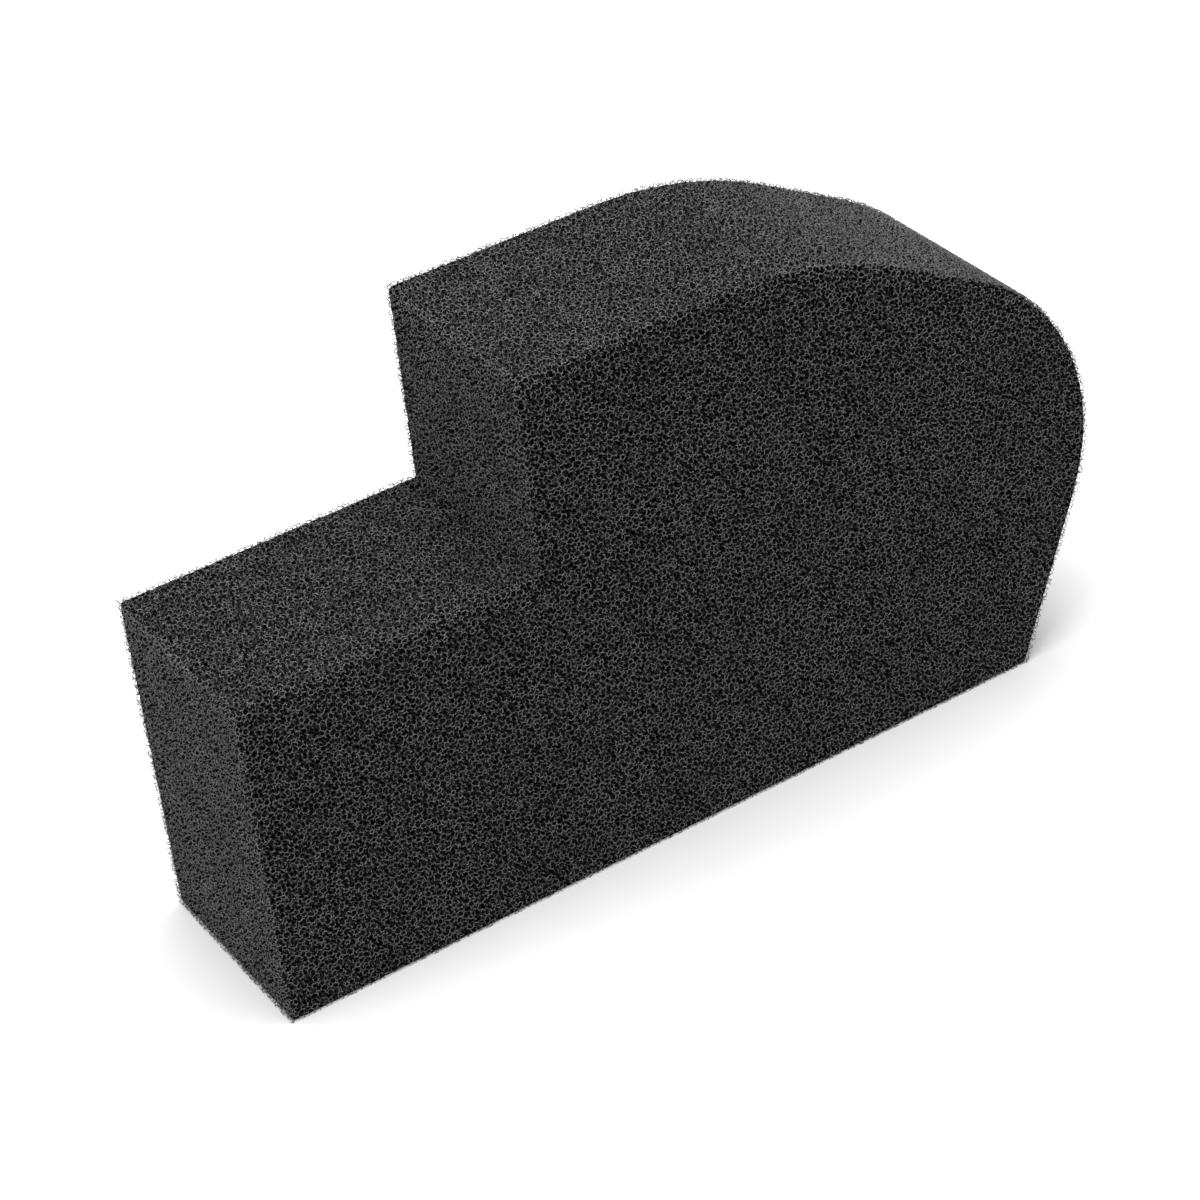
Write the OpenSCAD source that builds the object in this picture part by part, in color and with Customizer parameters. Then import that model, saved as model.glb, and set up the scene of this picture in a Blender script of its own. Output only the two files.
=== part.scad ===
// Filter foam block for a pond or aquarium filter.
// One piece of open-cell foam, cut from a slab: a low flat ledge at one end, a step up
// to a taller flat top, then a slope with a rounded shoulder and an end that leans
// back in to the underside. X runs along the length, with the ledge at -X, Y runs
// through the slab's thickness and Z is up. The origin is the middle of the outer
// box's underside, which is on the flat face that the block stands on.

/* [Slab] */
// Thickness of the foam slab that the block is cut from
slab_thickness = 50; // [25:1:100]
// Length of the flat underside, from the ledge end to the foot of the leaning end
base_length = 194; // [160:1:240]
// Height of the flat top above the underside
block_height = 126.5; // [100:0.5:155]

/* [Ledge] */
// Length of the low ledge, from the block's end to the riser
ledge_length = 71; // [40:1:90]
// Height of the ledge above the underside
ledge_height = 80; // [40:1:96]

/* [Domed end] */
// Length of the top, from the riser to where its line meets the line of the slope
top_length = 73.5; // [60:0.5:90]
// Fall of the slope below the horizontal, in degrees
slope_angle = 29; // [20:1:35]
// Lean of the far end out from the vertical, in degrees
lean_angle = 21; // [5:1:30]
// Radius that blends the flat top into the slope
top_radius = 90; // [30:1:110]
// Radius of the shoulder between the slope and the leaning end
shoulder_radius = 52; // [20:1:65]

/* [Hidden] */

// Smoothness of the drawn arcs
$fn = 96;

// How far each arc stands proud of the lines beside it, so that they cross cleanly
arc_overlap = 0.002;

// Most of the slope that each of its two arcs may take up
top_arc_share = 0.4;
shoulder_arc_share = 0.55;
// Most of the leaning end that the shoulder's arc may take up
end_arc_share = 0.9;

// Directions of the slope, going down it, and of the leaning end, going up it
slope_way = [cos(slope_angle), -sin(slope_angle)];
lean_way = [sin(lean_angle), cos(lean_angle)];

// Sharp corner where the lines of the top and the slope meet
top_corner = [ledge_length + top_length, block_height];
// Length of the slope between its two sharp corners
slope_length = (base_length + block_height * tan(lean_angle) - top_corner.x)
    / (cos(slope_angle) + sin(slope_angle) * tan(lean_angle));
// Sharp corner where the lines of the slope and the leaning end meet
shoulder_corner = top_corner + slope_length * slope_way;
end_length = shoulder_corner.y / cos(lean_angle);

// Each arc touches the two lines beside it, at its reach from their corner
top_bend = slope_angle;
shoulder_bend = 90 + lean_angle - slope_angle;
top_reach = min(top_radius * tan(top_bend / 2), top_arc_share * slope_length);
shoulder_reach = min(shoulder_radius * tan(shoulder_bend / 2),
    shoulder_arc_share * slope_length, end_arc_share * end_length);
top_arc_radius = top_reach / tan(top_bend / 2);
shoulder_arc_radius = shoulder_reach / tan(shoulder_bend / 2);

// Ends and centres of the two arcs
top_arc_start = top_corner - [top_reach, 0];
top_arc_end = top_corner + top_reach * slope_way;
top_arc_centre = top_arc_start - [0, top_arc_radius];
shoulder_arc_start = shoulder_corner - shoulder_reach * slope_way;
shoulder_arc_end = shoulder_corner - shoulder_reach * lean_way;
shoulder_arc_centre = shoulder_arc_start
    - shoulder_arc_radius * [sin(slope_angle), cos(slope_angle)];

// Greatest length, at the bulge of the shoulder
overall_length = shoulder_arc_centre.x + shoulder_arc_radius + arc_overlap;

// Pie slice of a circle that runs a little past each of two points on it
module slice(centre, from, to, radius) {
    reach = 2;
    spread = 0.1;
    intersection() {
        translate(centre) circle(radius + arc_overlap);
        polygon([
            centre,
            centre + reach * (from - centre) + spread * (from - to),
            centre + reach * (to - centre) + spread * (to - from)
        ]);
    }
}

// Side outline of the block, with its ledge corner at the origin
module outline() {
    polygon([
        [0, 0],
        [base_length, 0],
        shoulder_arc_end,
        shoulder_arc_start,
        top_arc_end,
        top_arc_start,
        [ledge_length, block_height],
        [ledge_length, ledge_height],
        [0, ledge_height]
    ]);
    slice(top_arc_centre, top_arc_start, top_arc_end, top_arc_radius);
    slice(shoulder_arc_centre, shoulder_arc_start, shoulder_arc_end, shoulder_arc_radius);
}

module foam_block() {
    color([0.16, 0.16, 0.17])
        translate([-overall_length / 2, 0, 0])
            rotate([90, 0, 0])
                linear_extrude(height = slab_thickness, center = true)
                    outline();
}

foam_block();
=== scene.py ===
import itertools
import math

import bpy
import numpy as np
from mathutils import Matrix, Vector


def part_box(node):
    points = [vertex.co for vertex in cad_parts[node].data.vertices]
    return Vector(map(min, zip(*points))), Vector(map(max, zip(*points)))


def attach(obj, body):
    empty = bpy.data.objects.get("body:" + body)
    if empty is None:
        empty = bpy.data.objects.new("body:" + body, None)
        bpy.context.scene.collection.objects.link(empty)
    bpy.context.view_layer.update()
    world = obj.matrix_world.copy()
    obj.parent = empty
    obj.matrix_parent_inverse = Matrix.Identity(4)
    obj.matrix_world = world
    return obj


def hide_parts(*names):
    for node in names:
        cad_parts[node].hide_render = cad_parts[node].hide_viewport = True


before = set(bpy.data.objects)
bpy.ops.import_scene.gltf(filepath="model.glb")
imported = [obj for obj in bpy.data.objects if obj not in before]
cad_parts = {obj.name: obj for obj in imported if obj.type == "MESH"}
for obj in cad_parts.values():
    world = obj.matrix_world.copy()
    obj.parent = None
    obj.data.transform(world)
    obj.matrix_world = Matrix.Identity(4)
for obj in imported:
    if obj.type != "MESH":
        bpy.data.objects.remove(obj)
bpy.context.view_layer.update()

MM = 0.001

# ---------------------------------------------------------------------------
# Foam core: the shut-in middle of the block, where cell lies behind cell and next to
# no light comes back out. Its near-black colour is painted shade: a dark sheet that stands
# for the unlit cells deep inside. It is the block's own outline, cut from the slab and drawn
# in a little from every face, with ragged edges. The struts stand out around it.
# ---------------------------------------------------------------------------

block_low, block_high = (np.array(corner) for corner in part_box("foam_block"))
slab_middle = (block_low[1] + block_high[1]) / 2
slab_half = (block_high[1] - block_low[1]) / 2
block_height = block_high[2] - block_low[2]

base_length = 194 * MM
ledge_length = 71 * MM
ledge_height = 80 * MM
top_length = 73.5 * MM
slope_angle = math.radians(29)
lean_angle = math.radians(21)
top_radius = 90 * MM
shoulder_radius = 52 * MM
core_depth = 0.1 * MM
edge_thinning = 0.4 * MM
edge_raggedness = 0.2 * MM
least_corner = 0.3 * MM

# The outline's sides, clockwise from the ledge end: a point on each, the way that it
# faces, and the radius of the arc that joins it to the next side
SIDES = [
    ((0, 0), (-1, 0), 0),
    ((0, ledge_height), (0, 1), 0),
    ((ledge_length, 0), (-1, 0), 0),
    ((0, block_height), (0, 1), top_radius),
    ((ledge_length + top_length, block_height), (math.sin(slope_angle), math.cos(slope_angle)),
     shoulder_radius),
    ((base_length, 0), (math.cos(lean_angle), -math.sin(lean_angle)), 0),
    ((0, 0), (0, -1), 0),
]
side_way = np.array([way for _, way, _ in SIDES], float)
side_reach = np.array([np.dot(point, way) for point, way, _ in SIDES])
side_reach += side_way @ block_low[[0, 2]]
END, LEDGE, RISER, TOP, SLOPE, LEAN, BASE = range(len(SIDES))


def meeting(one, other, inset):
    """The point that lies inset behind both of two sides' lines: the solution of way . p = reach - inset."""
    pair = [one, other]
    return np.linalg.solve(side_way[pair], side_reach[pair] - inset)


def outline(inset, softness):
    """Closed outline, clockwise in X and Z, of the block drawn in by inset. Each side's line moves back
    along its own facing; a rounded corner keeps its centre, and its arc is centre + (radius - inset) *
    facing, with the facing turned evenly from one side's to the next's. A sharp corner's radius is the
    softness."""
    points = []
    arc_steps = 16
    for side, (_, _, radius) in enumerate(SIDES):
        following = (side + 1) % len(SIDES)
        if side == LEDGE:
            points.append(meeting(side, following, inset))
            continue
        radius = radius or softness
        start, finish = (math.atan2(*side_way[each][::-1]) for each in (side, following))
        angle = np.linspace(start, finish - math.tau * (finish > start), arc_steps)
        arc = np.stack([np.cos(angle), np.sin(angle)], 1)
        points.extend(meeting(side, following, radius) + (radius - inset) * arc)
    return np.array(points)


def add_mesh(name, points, faces):
    """An object whose mesh comes from whole arrays: its points, and its faces as rows of as many corners."""
    mesh = bpy.data.meshes.new(name)
    count, corners = faces.shape
    mesh.vertices.add(len(points))
    mesh.vertices.foreach_set("co", np.ravel(points).astype(np.float32))
    mesh.loops.add(count * corners)
    mesh.loops.foreach_set("vertex_index", np.ravel(faces).astype(np.int32))
    mesh.polygons.add(count)
    mesh.polygons.foreach_set("loop_start", (np.arange(count) * corners).astype(np.int32))
    mesh.update(calc_edges=True)
    mesh.shade_flat()
    piece = bpy.data.objects.new(name, mesh)
    bpy.context.collection.objects.link(piece)
    return piece


def evenly(points, count):
    """A closed outline as count points at even steps of its length, by straight lines between its own."""
    closed = np.concatenate([points, points[:1]])
    along = np.concatenate([[0], np.cumsum(np.linalg.norm(np.diff(closed, axis=0), axis=1))])
    steps = np.linspace(0, along[-1], count, endpoint=False)
    return np.stack([np.interp(steps, along, closed[:, axis]) for axis in (0, 1)], 1)


def core_surface(rng):
    """The core's skin, on a grid of ring by outline point. A ring at angle t round the slab's edge is drawn
    in by depth + thinning * (1 - sin t) and lies depth + thinning * (1 - cos t) in from the slab's face,
    so the outer edges are rounded off. They are ragged too: each point of a ring lies at random between
    the ring's outline drawn in by raggedness * sin(2 t) less and by as much more."""
    bend_steps = 7
    outline_points = 1000
    t = np.linspace(0, math.pi / 2, bend_steps)
    t = np.concatenate([t, t[::-1]])
    inset = core_depth + edge_thinning * (1 - np.sin(t))
    across = slab_half - core_depth - edge_thinning * (1 - np.cos(t))
    across[:bend_steps] *= -1
    ragged = edge_raggedness * np.sin(2 * t)
    corner = core_depth + edge_thinning + edge_raggedness + least_corner
    rings = []
    for each, share in zip(inset, ragged):
        outer, inner = (evenly(outline(each + way * share, corner), outline_points) for way in (-1, 1))
        rings.append(outer + rng.random((outline_points, 1)) * (inner - outer))
    rings = np.stack(rings)
    across = np.broadcast_to(across[:, None] + slab_middle, rings.shape[:2])
    return np.stack([rings[..., 0], across, rings[..., 1]], -1)


core_seed = 3
core_points = core_surface(np.random.default_rng(core_seed))
ring_count, ring_size = core_points.shape[:2]
grid = np.arange(ring_count * ring_size).reshape(ring_count, ring_size)
beside = np.roll(grid, -1, axis=1)
walls = np.stack([grid[:-1], beside[:-1], beside[1:], grid[1:]], -1).reshape(-1, 4)
# The core is a dark sheet of painted shade, set where the deep cells are unlit.
core_mesh = bpy.data.meshes.new("foam_core")
core_mesh.from_pydata(core_points.reshape(-1, 3).tolist(), [],
                      walls.tolist() + [grid[0, ::-1].tolist(), grid[-1].tolist()])
core = bpy.data.objects.new("foam_core", core_mesh)
bpy.context.collection.objects.link(core)


class Socket:
    """A node's output that can be used in sums: an operator adds the Math node that works it out."""

    def __init__(self, tree, socket):
        self.tree = tree
        self.socket = socket

    def node(self, kind, settings=None, ramp=None, output=0, **values):
        """Adds a node. Settings go on before its sockets; a value sets a socket, and a Socket links to it. A
        socket is named in lower case with underscores, or by its number as input_0."""
        made = self.tree.nodes.new(kind)
        for key, setting in (settings or {}).items():
            setattr(made, key, setting)
        if ramp:
            stops = made.color_ramp.elements
            while len(stops) < len(ramp):
                stops.new(0.5)
            for stop, (place, colour) in zip(stops, ramp):
                stop.position = place
                stop.color = colour
        for key, value in values.items():
            if key.startswith("input_"):
                target = made.inputs[int(key.removeprefix("input_"))]
            else:
                target = next(s for s in made.inputs if s.name.lower().replace(" ", "_") == key)
            if isinstance(value, Socket):
                self.tree.links.new(value.socket, target)
            else:
                target.default_value = value
        return Socket(self.tree, made.outputs[output])

    def maths(self, operation, *terms):
        return self.node("ShaderNodeMath", {"operation": operation},
                         **{f"input_{place}": term for place, term in enumerate(terms)})

    def __add__(self, other):
        return self.maths("ADD", self, other)

    def __rsub__(self, other):
        return self.maths("SUBTRACT", other, self)

    def __mul__(self, other):
        return self.maths("MULTIPLY", self, other)

    __radd__ = __add__
    __rmul__ = __mul__


def new_material(name):
    """A material with its surface shader, and a Socket that holds its Object coordinates."""
    material = bpy.data.materials.new(name)
    material.use_nodes = True
    tree = material.node_tree
    shader = tree.nodes["Principled BSDF"]
    place = tree.nodes.new("ShaderNodeTexCoord").outputs["Object"]
    return material, shader, Socket(tree, place)


def feed(shader, socket, value):
    value.tree.links.new(value.socket, shader.inputs[socket])


def core_shade_material():
    """Painted shade: nearly black, for the unlit depths of the foam, with a faint grey web painted where the
    struts lie deeper than the modelled ones. Those struts are real; their dimness is painted shade.
    """
    material, shader, place = new_material("foam_depths")
    web_spacing = 1.1 * MM
    web = place.node("ShaderNodeTexVoronoi", {"feature": "DISTANCE_TO_EDGE"}, vector=place,
                     scale=1 / web_spacing)
    # Painted shade: grey web lines at 0.03 fade to near black between them, for dim deep struts and unlit
    # holes.
    colour = web.node("ShaderNodeValToRGB", input_0=web,
                      ramp=[(0.0, (0.03, 0.03, 0.03, 1)), (0.08, (0.001, 0.001, 0.001, 1))])
    feed(shader, "Base Color", colour)
    shader.inputs["Roughness"].default_value = 0.9
    shader.inputs["Specular IOR Level"].default_value = 0.0
    return material


core_mesh.materials.append(core_shade_material())
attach(core, "root")
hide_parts("foam_block")

# ---------------------------------------------------------------------------
# Open cells: the web of thin struts that is left when the windows of a polyurethane
# foam are burst. Four struts meet at each joint. The block was cut from the slab, so
# the outer cells are open and the cut strut ends stand a little proud of its faces.
# ---------------------------------------------------------------------------

cell_size = 1.24 * MM
strut_half_width = 0.1 * MM
thinnest_share, thickest_share = 0.75, 1.3
web_depth = 0.68 * MM
ends_proud = 0.5 * MM
edge_softness = 2.2 * MM
cells_in_tile = 1000
tile_size = cell_size * cells_in_tile ** (1 / 3)
foam_seed = 7


def packed_centres(count, rng):
    """Cell centres in a unit cube that repeats in every direction. Any two centres nearer than their reach
    push each other apart by a share of what is missing, over and over, so the cells come out of even
    size."""
    centres = rng.random((count, 3))
    reach = 1.04 * count ** (-1 / 3)
    push_share = 0.4
    rounds = 25
    for _ in range(rounds):
        gap = centres[:, None] - centres
        gap -= np.round(gap)
        distance = np.sqrt((gap ** 2).sum(-1)) + np.eye(count)
        push = push_share * np.maximum(reach - distance, 0) / distance
        centres = (centres + (gap * push[..., None]).sum(1)) % 1
    return centres


def foam_joints(centres):
    """Each joint is the point that is equally far from four cell centres and nearer to no other, the middle
    of the sphere through them: for the other three's offsets a, b and c from the first, that is
    (a.a b x c + b.b c x a + c.c a x b) / (2 a . b x c). Returns the joints and each one's four cells."""
    count = len(centres)
    near = 25
    spare = 4
    batch = 50
    hair = 1e-9
    gap = centres - centres[:, None]
    gap -= np.round(gap)
    order = np.argsort((gap ** 2).sum(-1), axis=1)[:, 1:near + spare]
    gap = np.take_along_axis(gap, order[..., None], axis=1)
    trios = np.array(list(itertools.combinations(range(near), 3)))
    joints, cells = [], []
    for start in range(0, count, batch):
        offset = gap[start:start + batch]
        square = (offset ** 2).sum(-1)
        a, b, c = (offset[:, trios[:, corner]] for corner in range(3))
        aa, bb, cc = (square[:, trios[:, corner], None] for corner in range(3))
        b_cross_c = np.cross(b, c)
        volume = 2 * (a * b_cross_c).sum(-1)
        solid = np.abs(volume) > hair
        middle = aa * b_cross_c + bb * np.cross(c, a) + cc * np.cross(a, b)
        middle /= np.where(solid, volume, 1)[..., None]
        nothing_nearer = (square[:, None] - 2 * middle @ offset.transpose(0, 2, 1)).min(-1) > -hair
        row, trio = np.nonzero(solid & nothing_nearer)
        four = np.c_[row + start, np.take_along_axis(order[start:start + batch][row], trios[trio], axis=1)]
        first_seen = four[:, 0] < four[:, 1:].min(1)
        cells.append(four[first_seen])
        joints.append((centres[row + start] + middle[row, trio])[first_seen])
    return np.concatenate(joints), np.concatenate(cells)


def foam_struts(joints, cells, count):
    """A strut joins the two joints that share three cells. Returns its joint and arm at each end, and the
    whole step, in tiles, from the one end's tile to the other's. A joint's arm number is the place in its
    four cells of the one that the strut doesn't touch."""
    others = np.array([[1, 2, 3], [0, 2, 3], [0, 1, 3], [0, 1, 2]])
    three = np.sort(cells[:, others], axis=2)
    key = ((three[..., 0] * count + three[..., 1]) * count + three[..., 2]).ravel()
    order = np.argsort(key, kind="stable")
    shared = key[order][1:] == key[order][:-1]
    ends = np.stack([order[:-1][shared], order[1:][shared]], 1)
    joint, arm = ends // 4, ends % 4
    step = -np.round(joints[joint[:, 1]] - joints[joint[:, 0]]).astype(int)
    return joint, arm, step


def relaxed(joints, joint, step):
    """Joints evened out as surface tension does it: each moves half of the way to the mean of its four
    neighbours, a few times over."""
    rounds = 4
    for _ in range(rounds):
        along = joints[joint[:, 1]] + step - joints[joint[:, 0]]
        pull = np.zeros_like(joints)
        np.add.at(pull, joint[:, 0], along)
        np.add.at(pull, joint[:, 1], -along)
        joints = joints + pull / 8
    return joints


def stand_off(points, softness=0.0):
    """How far points lie outside the web, less than 0 inside it: the greatest of way . p - reach over the
    block's sides, though behind either of the riser and the ledge is enough, less what the strut ends stand
    proud of every side but the base. Past both tangents of a rounded corner it is the distance to the arc's
    centre less the radius. With a softness the base counts as web_depth further off, so that only cut struts
    are kept there, and sides that are nearer than the softness count together, as the root of the sum of
    (distance + softness) squared, less the softness, which rounds off every edge by that radius."""
    flat = points[..., [0, 2]]
    beyond = np.moveaxis(flat @ side_way.T - side_reach, -1, 0)
    dome = np.maximum.reduce([beyond[TOP], beyond[SLOPE], beyond[LEAN]])
    for side in (TOP, SLOPE):
        radius = SIDES[side][2]
        from_centre = flat - meeting(side, side + 1, radius)
        before, after = (side_way[each][::-1] * [1, -1] for each in (side, side + 1))
        past = (from_centre @ before > 0) & (from_centre @ after < 0)
        dome = np.where(past, np.hypot(*np.moveaxis(from_centre, -1, 0)) - radius, dome)
    across = np.abs(points[..., 1] - slab_middle) - slab_half
    walls = np.stack([beyond[BASE], beyond[END], np.minimum(beyond[RISER], beyond[LEDGE]), dome, across])
    walls[1:] -= ends_proud
    if not softness:
        return walls.max(0)
    walls[0] -= web_depth
    nearest = walls.max(0)
    together = np.sqrt((np.maximum(walls + softness, 0) ** 2).sum(0)) - softness
    return np.where(nearest > -softness, together, nearest)


rng = np.random.default_rng(foam_seed)
centres = packed_centres(cells_in_tile, rng)
joints, cells = foam_joints(centres)
joint, arm, step = foam_struts(joints, cells, cells_in_tile)
joints = relaxed(joints, joint, step)
half_width = strut_half_width * rng.uniform(thinnest_share, thickest_share, len(joints))
crosswise = rng.normal(size=(len(joint), 3))

# The tile is turned, so that no face of the block cuts its copies alike
turn_x, turn_y, turn_z = (Matrix.Rotation(math.radians(angle), 3, axis)
                          for angle, axis in ((27, "X"), (41, "Y"), (13, "Z")))
tile_turn = np.array(turn_x @ turn_y @ turn_z)
block_middle = (block_low + block_high) / 2
tiles_out = math.ceil(np.linalg.norm(block_high - block_low) / 2 / tile_size) + 1
tiles = np.stack(np.meshgrid(*[np.arange(-tiles_out, tiles_out + 1)] * 3, indexing="ij"), -1).reshape(-1, 3)
tile_place = tiles * tile_size @ tile_turn.T + block_middle
tile_middle = tile_place + (tile_size / 2) * tile_turn.sum(1)
tile_radius = tile_size * math.sqrt(3) / 2
wanted = np.abs(stand_off(tile_middle)) < tile_radius + 2 * edge_softness
tiles, tile_place = tiles[wanted], tile_place[wanted]

joint_place = (joints * tile_size) @ tile_turn.T
outside = stand_off(tile_place[:, None] + joint_place)
soft_outside = stand_off(tile_place[:, None] + joint_place, edge_softness)

# The tile that each strut's far end is in
tile_row = np.full([2 * tiles_out + 3] * 3, -1)
tile_row[tuple((tiles + tiles_out + 1).T)] = np.arange(len(tiles))
steps, step_kind = np.unique(step, axis=0, return_inverse=True)
far_tile = np.stack([tile_row[tuple((tiles + move + tiles_out + 1).T)] for move in steps], 1)
far_tile = far_tile[:, step_kind.ravel()]

# A far tile that isn't kept lies deep inside or well outside, and counts as the near end does
near_out = outside[:, joint[:, 0]]
far_out = np.where(far_tile >= 0, outside[far_tile, joint[:, 1]], near_out)
near_soft = soft_outside[:, joint[:, 0]]
far_soft = np.where(far_tile >= 0, soft_outside[far_tile, joint[:, 1]], near_soft)
shown = (np.minimum(near_out, far_out) < 0) & (np.maximum(near_soft, far_soft) > -web_depth)
tile_of, strut_of = np.nonzero(shown)
ends_tile = np.stack([tile_of, far_tile[tile_of, strut_of]], 1)
ends_out = np.stack([near_out[tile_of, strut_of], far_out[tile_of, strut_of]], 1)
ends_joint = joint[strut_of]
ends_crosswise = crosswise[strut_of]

# A cut strut is turned about, where need be, so that its first end is the one inside
turned = ends_out[:, 0] > 0
for each in (ends_tile, ends_out, ends_joint):
    each[turned] = each[turned][:, ::-1]
is_cut = ends_out[:, 1] > 0


def cut_ends(start, finish):
    """Where struts that start inside the web and finish outside pass through its surface, found by halving:
    the surface stays between the last point inside and the first point outside."""
    low, high = np.zeros((len(start), 1)), np.ones((len(start), 1))
    halvings = 10
    for _ in range(halvings):
        half = (low + high) / 2
        is_out = stand_off(start + half * (finish - start))[:, None] > 0
        low, high = np.where(is_out, low, half), np.where(is_out, half, high)
    return start + low * (finish - start)


strut_start, strut_finish = (tile_place[ends_tile[:, end]] + joint_place[ends_joint[:, end]]
                             for end in (0, 1))
strut_finish[is_cut] = cut_ends(strut_start[is_cut], strut_finish[is_cut])
strut_buried = np.clip(-ends_out / web_depth, 0, 1)


def strut_patch(name, chosen):
    """One patch of the web, in the piece's own points. A strut is a closed sliver with four corners and
    four faces: middle +- half width * side at its one end, and middle +- half width * across at its other,
    where side and across are square to the strut and to each other, so it looks about as wide from
    everywhere."""
    start, finish = strut_start[chosen], strut_finish[chosen]
    along = finish - start
    side = np.cross(along, ends_crosswise[chosen])
    side /= np.linalg.norm(side, axis=1, keepdims=True)
    across = np.cross(along, side)
    across /= np.linalg.norm(across, axis=1, keepdims=True)
    near, far = (half_width[ends_joint[chosen, end], None] for end in (0, 1))
    points = np.stack([start + near * side, start - near * side,
                       finish + far * across, finish - far * across], 1)
    sliver = np.array([[0, 1, 2], [0, 3, 1], [0, 2, 3], [1, 3, 2]])
    faces = (4 * np.arange(len(start))[:, None, None] + sliver).reshape(-1, 3)
    return add_mesh(name, points.reshape(-1, 3), faces)


def mark_buried(piece, buried):
    """Keeps on each corner how deep it is buried in the web, 0 at the web's surface and 1 at the deepest.
    The strut material turns this into painted shade.
    """
    attribute = piece.data.attributes.new("buried", "FLOAT", "POINT")
    attribute.data.foreach_set("value", np.repeat(buried, 2, axis=1).ravel().astype(np.float32))


def lay_flat(piece):
    """The piece's own flat map, for baked colours: u = x + 0.35 y and v = z + 0.8 y, each stretched to run
    from 0 to 1, so that no side of the block is seen end on."""
    mesh = piece.data
    points = np.empty(3 * len(mesh.vertices), np.float32)
    mesh.vertices.foreach_get("co", points)
    corners = np.empty(len(mesh.loops), np.int32)
    mesh.loops.foreach_get("vertex_index", corners)
    flat = points.reshape(-1, 3) @ np.array([[1, 0], [0.35, 0.8], [0, 1]])
    flat = (flat - flat.min(0)) / np.ptp(flat, axis=0)
    mesh.uv_layers.new(name="OFBake").data.foreach_set("uv", flat[corners].ravel())


def strut_material():
    """Black polyurethane: a dark grey, slightly glossy skin, a little paler and duller in soft clouds, with
    painted shade that darkens it the deeper it is buried, for the light that the struts above hold off: lit
    = 0.12 + 0.88 (1 - buried)."""
    material, shader, place = new_material("foam_strut")
    cloud_size = 14 * MM
    grain_size = 0.9 * MM
    clouds = place.node("ShaderNodeTexNoise", vector=place, scale=1 / cloud_size, detail=2.0)
    grain = place.node("ShaderNodeTexNoise", vector=place, scale=1 / grain_size, detail=2.0)
    blend = 0.5 * clouds + 0.5 * grain
    colour = blend.node("ShaderNodeValToRGB", input_0=blend,
                        ramp=[(0.3, (0.093, 0.093, 0.096, 1)), (0.7, (0.158, 0.158, 0.162, 1))])
    # Painted shade: the struts' colour darkens with how deep they are buried in the web.
    buried = place.node("ShaderNodeAttribute", {"attribute_name": "buried"}, output=2)
    lit = 0.12 + 0.88 * (1 - buried)
    shade = colour.node("ShaderNodeMix", {"data_type": "RGBA"}, output=2, input_0=lit,
                        input_6=(0.0, 0.0, 0.0, 1), input_7=colour)
    feed(shader, "Base Color", shade)
    feed(shader, "Roughness", 0.38 + 0.25 * clouds)
    shader.inputs["Specular IOR Level"].default_value = 0.3
    return material


bands = 6
band_size = (block_high[0] - block_low[0]) / bands
band_of = np.clip((strut_start[:, 0] - block_low[0]) // band_size, 0, bands - 1)
in_front = strut_start[:, 1] < slab_middle
foam_strut = strut_material()
for side, in_side in (("front", in_front), ("back", ~in_front)):
    for band in range(bands):
        chosen = in_side & (band_of == band)
        patch = strut_patch(f"foam_cells_{side}_{band + 1}", chosen)
        mark_buried(patch, strut_buried[chosen])
        lay_flat(patch)
        patch.data.materials.append(foam_strut)
        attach(patch, "root")
        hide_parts("foam_block")

# ---------------------------------------------------------------------------
# Studio: a pale sheet of paper under the block, one large soft light over it, a weaker
# one to the left, and even light all round. The camera looks down on the ledge end.
# ---------------------------------------------------------------------------


def paper_sweep():
    """A flat sheet at the height of the block's underside, as a grid of four corners."""
    half = 6.0
    side = np.array([-half, half])
    x, y = np.meshgrid(side, side)
    points = np.stack([x, y, np.full_like(x, block_low[2])], -1).reshape(-1, 3)
    return add_mesh("paper_sweep", points, np.array([[0, 1, 3, 2]]))


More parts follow.
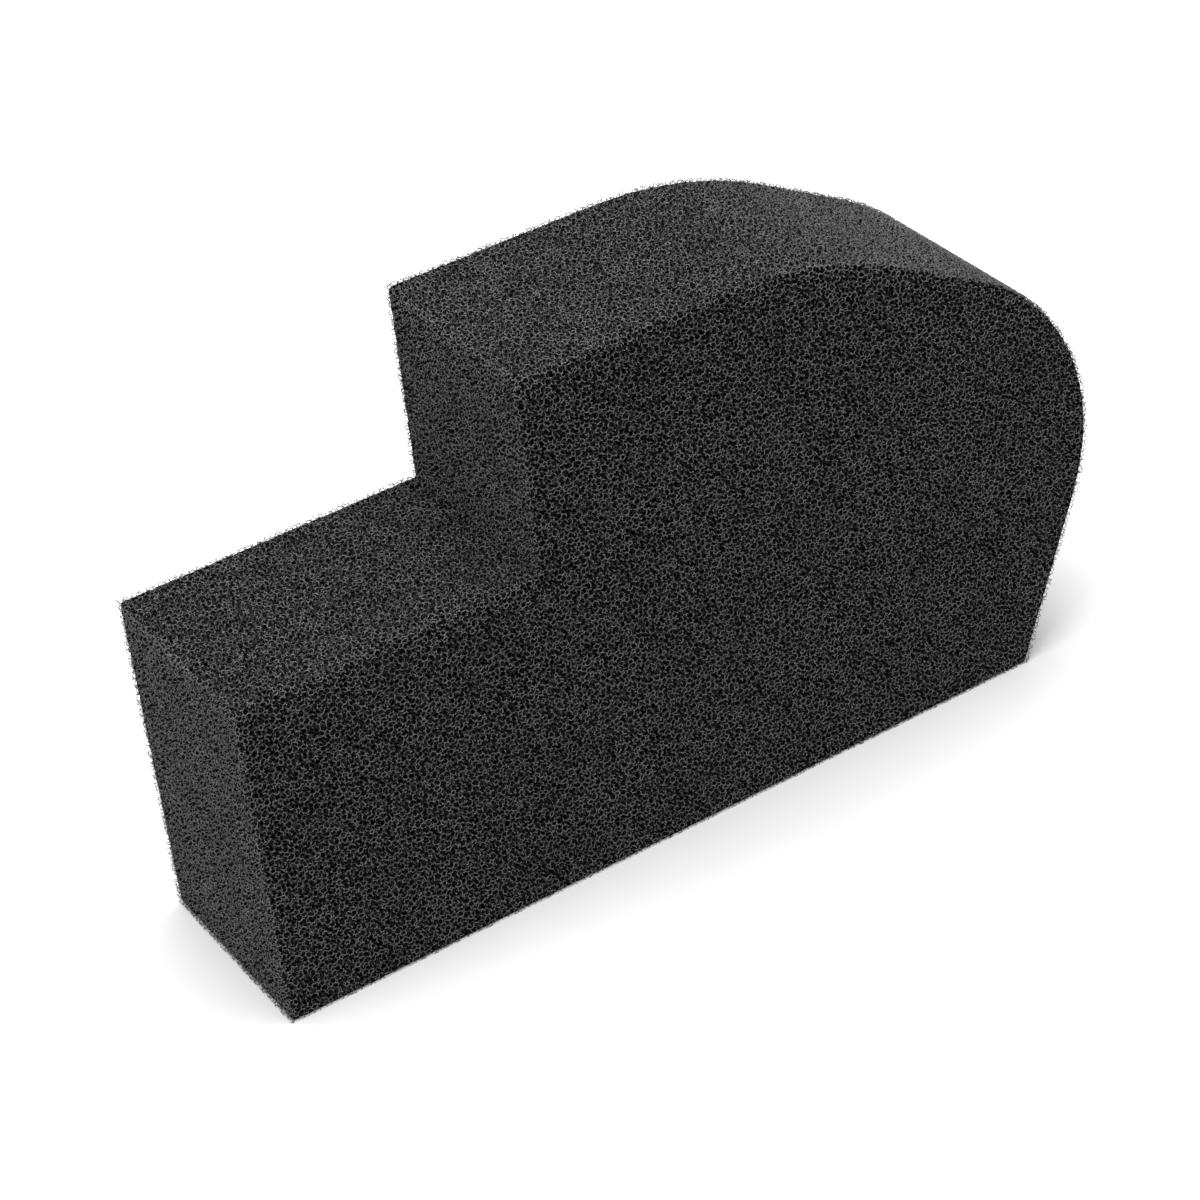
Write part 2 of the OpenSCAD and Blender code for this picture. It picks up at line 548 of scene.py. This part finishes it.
def paper_material():
    material, shader, place = new_material("white_paper")
    mottle = place.node("ShaderNodeTexNoise", vector=place, scale=40.0, detail=3.0)
    colour = mottle.node("ShaderNodeValToRGB", input_0=mottle,
                         ramp=[(0.2, (0.61, 0.61, 0.61, 1)), (0.8, (0.63, 0.63, 0.63, 1))])
    feed(shader, "Base Color", colour)
    shader.inputs["Roughness"].default_value = 0.9
    return material


floor = paper_sweep()
floor.data.materials.append(paper_material())


def looking(azimuth, elevation, roll=0.0):
    """Axes of something that looks at the block from an azimuth and an elevation, in degrees: its back
    points at (sin a cos e, -cos a cos e, sin e), its right is level before the roll, and the three are
    columns."""
    a, e, r = (math.radians(angle) for angle in (azimuth, elevation, roll))
    back = np.array([math.sin(a) * math.cos(e), -math.cos(a) * math.cos(e), math.sin(e)])
    right = np.array([math.cos(a), math.sin(a), 0.0])
    up = np.cross(back, right)
    tilted_right = math.cos(r) * right + math.sin(r) * up
    return np.stack([tilted_right, np.cross(back, tilted_right), back], 1)


def stand(thing, aim, distance, axes):
    """Puts a camera or light at distance from aim, backwards along its own line of sight."""
    matrix = np.eye(4)
    matrix[:3, :3] = axes
    matrix[:3, 3] = np.array(aim) + distance * axes[:, 2]
    thing.matrix_world = Matrix(matrix)
    bpy.context.collection.objects.link(thing)


camera_data = bpy.data.cameras.new("camera")
camera_data.sensor_width = 36
camera_data.lens = 105.5
camera = bpy.data.objects.new("camera", camera_data)
stand(camera, aim=(-0.0093, -0.0024, 0.0503), distance=0.7561, axes=looking(-29.62, 34.76, -6.47))
bpy.context.scene.camera = camera


def soft_light(name, azimuth, elevation, distance, size, power):
    light_data = bpy.data.lights.new(name, "AREA")
    light_data.shape = "RECTANGLE"
    light_data.size, light_data.size_y = size
    light_data.energy = power
    light = bpy.data.objects.new(name, light_data)
    stand(light, block_middle, distance, looking(azimuth, elevation))


soft_light("top_light", 0, 88, 1.2, (1.0, 1.0), 23)
soft_light("left_card", -80, 30, 1.2, (1.0, 0.8), 5)

world = bpy.data.worlds.new("studio")
world.use_nodes = True
world.node_tree.nodes["Background"].inputs["Color"].default_value = (1, 1, 1, 1)
world.node_tree.nodes["Background"].inputs["Strength"].default_value = 0.95
bpy.context.scene.world = world
bpy.context.scene.view_settings.view_transform = "Standard"
